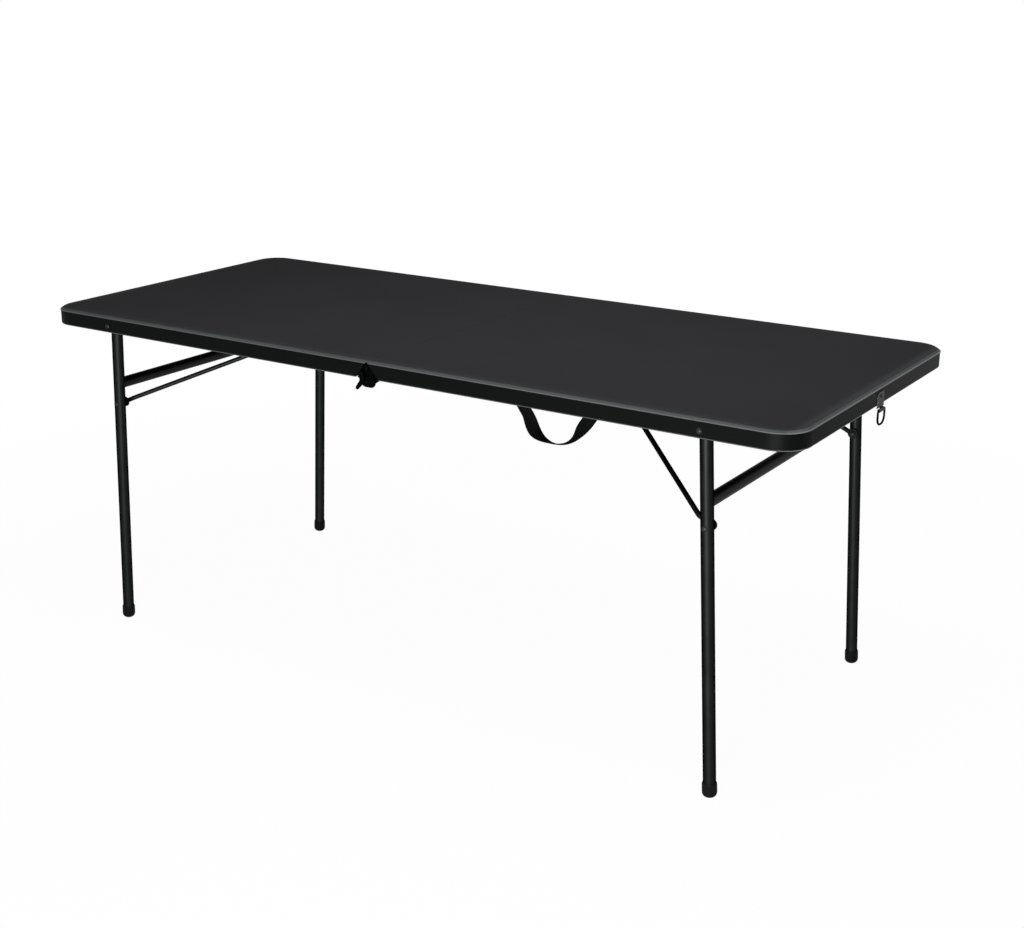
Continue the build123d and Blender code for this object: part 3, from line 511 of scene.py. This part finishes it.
def plastic_material(name, colour, roughness, specular):
    """A small plain moulding with a fine spark-eroded texture."""
    spark_size, spark_height, spark_low, spark_high = 0.0006, 0.00004, 0.3, 1.0
    edge_radius, soft_radius, scuff, rougher = 0.0012, 0.0005, 1.8, 0.1
    material, tree, shader, place = new_material(name, Specular_IOR_Level=specular)
    grain = use_group(tree, "Moulded grain", grain_group, Vector=place, Size=spark_size)
    edge = use_group(tree, "Edge wear", edge_group, Vector=place, Radius=edge_radius)
    tint = toned(tree, colour, grain["Tone"], amount=0.15)
    tint = mix_colour(tree, edge["Mask"], tint, shade(colour, scuff))
    tree.links.new(tint, shader.inputs["Base Color"])
    gloss = remap(tree, grain["Height"], spark_low, spark_high, roughness, roughness + rougher)
    tree.links.new(gloss, shader.inputs["Roughness"])
    bump(tree, shader, grain["Height"], spark_height, rounded=soft_radius)
    return material


def webbing_material(settings):
    """Woven black webbing that follows the strap's own map."""
    yarn_pitch, yarn_height, yarn_strength = 0.0015, 0.0003, 0.8
    hollow_painted_shade, crown_painted_highlight = 0.35, 1.7
    hollow_roughness, crown_roughness = 0.85, 0.6
    material, tree, shader, _ = new_material("Webbing", Specular_IOR_Level=0.03)
    strap_map = add_node(tree, "ShaderNodeUVMap", uv_map="Webbing").outputs["UV"]
    weave = use_group(tree, "Webbing weave", weave_group, Vector=strap_map, Pitch=yarn_pitch)
    # Painted shade between the yarns and painted highlight on their crowns.
    hollow, crown = shade(settings.colour, hollow_painted_shade), shade(settings.colour, crown_painted_highlight)
    tree.links.new(mix_colour(tree, weave["Tone"], hollow, crown), shader.inputs["Base Color"])
    roughness = remap(tree, weave["Tone"], 0.0, 1.0, hollow_roughness, crown_roughness)
    tree.links.new(roughness, shader.inputs["Roughness"])
    bump(tree, shader, weave["Height"], yarn_height, yarn_strength)
    return material


def give_finish(material, names):
    """Gives CAD nodes a finish."""
    for name in names:
        mesh = frame["nodes"][name].data
        mesh.materials.clear()
        mesh.materials.append(material)


def both_sides(*words):
    """Node names of pieces that the left and right halves share."""
    return [f"{side}_{word}" for side in SIDES for word in words]


def each_corner(*words):
    """Node names of pieces that stand at all four corners."""
    return [f"{side}_{end}_{word}" for side in SIDES for end in ENDS for word in words]


def deselect_all():
    """Leaves nothing selected, so that an operator acts on the new piece alone."""
    if bpy.context.object and bpy.context.object.mode != "OBJECT":
        bpy.ops.object.mode_set(mode="OBJECT")
    bpy.ops.object.select_all(action="DESELECT")


def name_piece(name, material):
    """Names the active object, gives it its finish and applies its place to its mesh."""
    piece = bpy.context.object
    bpy.ops.object.transform_apply(location=True, rotation=True, scale=True)
    piece.name = name
    piece.data.name = name
    piece.data.materials.clear()
    piece.data.materials.append(material)
    return piece


class TABLE_OT_half_tops(bpy.types.Operator):
    """Finishes the two moulded half tops"""

    bl_idname = "table.half_tops"
    bl_label = "Half tops"

    def execute(self, context):
        settings = context.scene.table_top
        give_finish(moulded_top_material(settings), both_sides("top_panel"))
        return {"FINISHED"}


class TABLE_OT_leg_frames(bpy.types.Operator):
    """Finishes the leg tubes, crossbars and braces"""

    bl_idname = "table.leg_frames"
    bl_label = "Leg frames"

    def execute(self, context):
        settings = context.scene.table_steel
        coat = coated_material(
            "Tube coat", settings.tube_colour,
            peel_size=0.0025, roughness=0.46, metal=1.0, grazing=0.15, worn=1.4,
        )
        give_finish(coat, each_corner("leg") + both_sides("brace_rod"))
        # Painted light: a lit copy of the tube coat, lighter and with a brighter grazing tint, so that
        # the edge-on crossbars read lighter.
        crossbar_lit_copy = coated_material(
            "Crossbar coat lit copy", settings.crossbar_lit_colour,
            peel_size=0.0025, roughness=0.42, metal=1.0, grazing=0.66, worn=1.4,
        )
        give_finish(crossbar_lit_copy, both_sides("leg_crossbar"))
        return {"FINISHED"}


class TABLE_OT_steel_plates(bpy.types.Operator):
    """Finishes the rails, hinges, lock levers, brace guides, strap keepers and latch loop"""

    bl_idname = "table.steel_plates"
    bl_label = "Steel plates"

    def execute(self, context):
        settings = context.scene.table_steel
        coat = coated_material(
            "Plate coat", settings.plate_colour,
            peel_size=0.0018, roughness=0.34, metal=0.6, grazing=0.1, worn=2.0,
        )
        names = each_corner("side_rail", "hinge_leaf")
        names += both_sides("brace_guide", "hinge_pins", "leaf_rivets")
        names += [f"{end}_{word}" for end in ENDS for word in ("hinge_link", "lock_lever")]
        names += ["handle_keepers", "lock_lever_studs", "latch_loop"]
        give_finish(coat, names)
        return {"FINISHED"}


class TABLE_OT_fasteners(bpy.types.Operator):
    """Finishes the blackened bolts, nuts, screws and rivets"""

    bl_idname = "table.fasteners"
    bl_label = "Fasteners"

    def execute(self, context):
        names = both_sides("rail_screws", "leg_pivot_bolts", "leg_pivot_nuts", "brace_bolts")
        names += both_sides("guide_rivets") + ["latch_rivet", "catch_rivets", "handle_rivets"]
        give_finish(fastener_material(context.scene.table_steel), names)
        return {"FINISHED"}


class TABLE_OT_latch(bpy.types.Operator):
    """Finishes the closing latch's plate and its catch"""

    bl_idname = "table.latch"
    bl_label = "Latch"

    def execute(self, context):
        settings = context.scene.table_steel
        # Painted light: a lighter copy of the black steel coat, for the light on the latch.
        lit_coat_copy = coated_material(
            "Latch enamel", settings.latch_lit_colour,
            peel_size=0.0015, roughness=0.34, metal=0.8, grazing=0.6, worn=2.2,
        )
        give_finish(lit_coat_copy, ["latch_plate", "catch_plate"])
        return {"FINISHED"}


class TABLE_OT_small_mouldings(bpy.types.Operator):
    """Finishes the foot caps, spacers and slide bushes"""

    bl_idname = "table.small_mouldings"
    bl_label = "Small mouldings"

    def execute(self, context):
        settings = context.scene.table_plastic
        foot = plastic_material("Foot moulding", settings.foot_colour, roughness=0.5, specular=0.04)
        give_finish(foot, each_corner("foot_cap"))
        bush = plastic_material("Slide moulding", settings.bush_colour, roughness=0.35, specular=0.15)
        give_finish(bush, both_sides("leg_spacers", "brace_slider"))
        return {"FINISHED"}


def strap_line(settings, turn):
    """The strap's middle line: X and Z from its lowest point, and slope. Turn 1 is on the fold line."""
    steepest = pi / 2 - settings.lean
    radius = settings.half_span * sin(steepest) - settings.drop * cos(steepest)
    radius /= 1 - cos(steepest)
    limb = (settings.half_span - radius * sin(steepest)) / cos(steepest)
    run = abs(turn) * (radius * steepest + limb)
    angle = min(run / radius, steepest)
    beyond = max(run - radius * steepest, 0)
    x = radius * sin(angle) + beyond * cos(angle)
    z = radius * (1 - cos(angle)) + beyond * sin(angle)
    side = 1 if turn >= 0 else -1
    return side * x, z, side * angle


class TABLE_OT_carrying_strap(bpy.types.Operator):
    """Models the webbing carrying strap, from one clamped end to the other"""

    bl_idname = "table.carrying_strap"
    bl_label = "Carrying strap"

    def execute(self, context):
        settings = context.scene.table_strap
        end_turn = 1.21  # the clamped ends, past the fold line
        twist_start, twist_ease = 0.85, 0.7
        steps_along, steps_across = 160, 10
        map_length, crease = 0.24, radians(50)
        deselect_all()
        bpy.ops.mesh.primitive_grid_add(x_subdivisions=steps_along, y_subdivisions=steps_across, size=1)
        strap = name_piece("carrying_strap", webbing_material(settings))
        mesh = strap.data
        mesh.uv_layers[0].name = "Webbing"
        for vertex in mesh.vertices:
            turn = vertex.co.x * 2 * end_turn
            x, z, angle = strap_line(settings, turn)
            share = (1 + cos(pi * min(abs(turn) / twist_start, 1))) / 2
            twist = settings.full_twist * share ** twist_ease
            forward = settings.forward_share * settings.width / 2 * sin(twist)
            upright = Vector((-sin(angle), 0, cos(angle)))
            widthwise = upright * cos(twist) + Vector((0, 1, 0)) * sin(twist)
            middle = STRAP_FOLD + Vector((x, -forward, z - settings.drop))
            vertex.co = middle + widthwise * (vertex.co.y * settings.width)
        for loop in mesh.uv_layers["Webbing"].data:
            loop.uv = (loop.uv.x * map_length, loop.uv.y * settings.width)
        solid = strap.modifiers.new("Thickness", "SOLIDIFY")
        solid.thickness = settings.thickness
        solid.offset = 0
        bpy.ops.object.modifier_apply(modifier=solid.name)
        bpy.ops.object.shade_smooth_by_angle(angle=crease)
        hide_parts("handle_strap", "handle_strap_ends")
        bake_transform(strap)
        return {"FINISHED"}


class TABLE_OT_stage(bpy.types.Operator):
    """Sets the floor, the soft lamps, the white surround and the camera"""

    bl_idname = "table.stage"
    bl_label = "Stage"

    def execute(self, context):
        settings = context.scene.table_stage
        self.lay_floor(settings)
        self.light_room(context, settings)
        self.hang_lamp(
            "Overhead", settings.overhead_power,
            place=(0.35, -0.35, 2.9), aim=(0.3, -0.2, 0.7), width=1.6, depth=1.0,
        )
        self.hang_lamp(
            "Front", settings.key_power,
            place=(1.36, -3.09, 0.36), aim=(0.0, 0.0, 0.36), width=0.5, depth=0.6,
        )
        self.set_camera(context, settings)
        context.scene.view_settings.view_transform = "Standard"
        return {"FINISHED"}

    def seen_directly(self, tree):
        """1 for what the camera, a mirror or a glass sees, and 0 for light on a dull surface."""
        path = add_node(tree, "ShaderNodeLightPath").outputs
        shiny = math(tree, "MAXIMUM", path["Is Glossy Ray"], path["Is Transmission Ray"])
        return math(tree, "MAXIMUM", path["Is Camera Ray"], shiny)

    def lay_floor(self, settings):
        """Lays a round floor that looks white from above, is dull for light, and is clear from below."""
        glow_near, near, far = 0.975, 1.2, 2.6
        deselect_all()
        bpy.ops.mesh.primitive_circle_add(vertices=96, radius=9, fill_type="NGON")
        floor = bpy.context.object
        floor.name = "floor"
        material = bpy.data.materials.new("Floor")
        material.use_nodes = True
        tree = material.node_tree
        tree.nodes.clear()
        place = add_node(tree, "ShaderNodeTexCoord").outputs["Object"]
        distance = add_node(tree, "ShaderNodeVectorMath", {0: place}, operation="LENGTH")
        white = remap(tree, distance.outputs["Value"], near, far, glow_near, 1.0, smooth=True)
        factor = math(tree, "MULTIPLY", self.seen_directly(tree), white)
        dull = add_node(tree, "ShaderNodeBsdfDiffuse", {"Color": settings.floor_colour}).outputs[0]
        glow = add_node(tree, "ShaderNodeEmission", {"Strength": 1.0}).outputs[0]
        upper = add_node(tree, "ShaderNodeMixShader", {0: factor, 1: dull, 2: glow}).outputs[0]
        clear = add_node(tree, "ShaderNodeBsdfTransparent").outputs[0]
        from_below = add_node(tree, "ShaderNodeNewGeometry").outputs["Backfacing"]
        mixed = add_node(tree, "ShaderNodeMixShader", {0: from_below, 1: upper, 2: clear}).outputs[0]
        output = add_node(tree, "ShaderNodeOutputMaterial")
        tree.links.new(mixed, output.inputs["Surface"])
        floor.data.materials.append(material)

    def light_room(self, context, settings):
        """Surrounds the table with even light, which looks white where it is seen."""
        world = bpy.data.worlds.new("Studio")
        context.scene.world = world
        world.use_nodes = True
        tree = world.node_tree
        tree.nodes.clear()
        strength = remap(tree, self.seen_directly(tree), 0.0, 1.0, settings.room_level, 1.0)
        white = {"Color": (1, 1, 1, 1), "Strength": strength}
        background = add_node(tree, "ShaderNodeBackground", white)
        output = add_node(tree, "ShaderNodeOutputWorld")
        tree.links.new(background.outputs[0], output.inputs["Surface"])

    def hang_lamp(self, name, power, place, aim, width, depth):
        """Hangs a soft lamp that lights the table and stays out of the camera's view."""
        data = bpy.data.lights.new(name, "AREA")
        data.shape = "RECTANGLE"
        data.size, data.size_y = width, depth
        data.energy = power
        lamp = bpy.data.objects.new(name, data)
        bpy.context.scene.collection.objects.link(lamp)
        lamp.location = place
        lamp.visible_camera = False
        lamp.rotation_euler = (Vector(aim) - Vector(place)).to_track_quat("-Z", "Y").to_euler()

    def set_camera(self, context, settings):
        """Stands the camera where the photo was taken from."""
        data = bpy.data.cameras.new("Camera")
        data.sensor_width = 36
        data.lens = settings.camera_lens
        camera = bpy.data.objects.new("Camera", data)
        context.scene.collection.objects.link(camera)
        camera.location = settings.camera_place
        camera.rotation_euler = (pi / 2 - settings.camera_tip, 0, settings.camera_heading)
        context.scene.camera = camera


class TABLE_PT_panel(bpy.types.Panel):
    """Lists the table's pieces and their settings"""

    bl_label = "Folding Table"
    bl_idname = "TABLE_PT_panel"
    bl_space_type = "VIEW_3D"
    bl_region_type = "UI"
    bl_category = "Table"

    def draw(self, context):
        for operator in OPERATORS:
            self.layout.operator(operator.bl_idname)
        for name in GROUPS:
            box = self.layout.box()
            group = getattr(context.scene, name)
            for label in group.__annotations__:
                box.prop(group, label)


GROUPS = {
    "table_top": TableTopSettings,
    "table_steel": TableSteelSettings,
    "table_plastic": TablePlasticSettings,
    "table_strap": TableStrapSettings,
    "table_stage": TableStageSettings,
}
OPERATORS = (
    TABLE_OT_half_tops,
    TABLE_OT_leg_frames,
    TABLE_OT_steel_plates,
    TABLE_OT_fasteners,
    TABLE_OT_latch,
    TABLE_OT_small_mouldings,
    TABLE_OT_carrying_strap,
    TABLE_OT_stage,
)
CLASSES = (*GROUPS.values(), *OPERATORS, TABLE_PT_panel)


def register():
    """Registers the classes and gives the scene their settings."""
    for item in CLASSES:
        bpy.utils.register_class(item)
    for name, group in GROUPS.items():
        setattr(bpy.types.Scene, name, PointerProperty(type=group))


def unregister():
    """Takes the settings and the classes away again."""
    for name in GROUPS:
        delattr(bpy.types.Scene, name)
    for item in reversed(CLASSES):
        bpy.utils.unregister_class(item)


def main():
    """Builds every piece in order."""
    register()
    for operator in OPERATORS:
        group, name = operator.bl_idname.split(".")
        getattr(getattr(bpy.ops, group), name)()


if __name__ == "__main__":
    main()
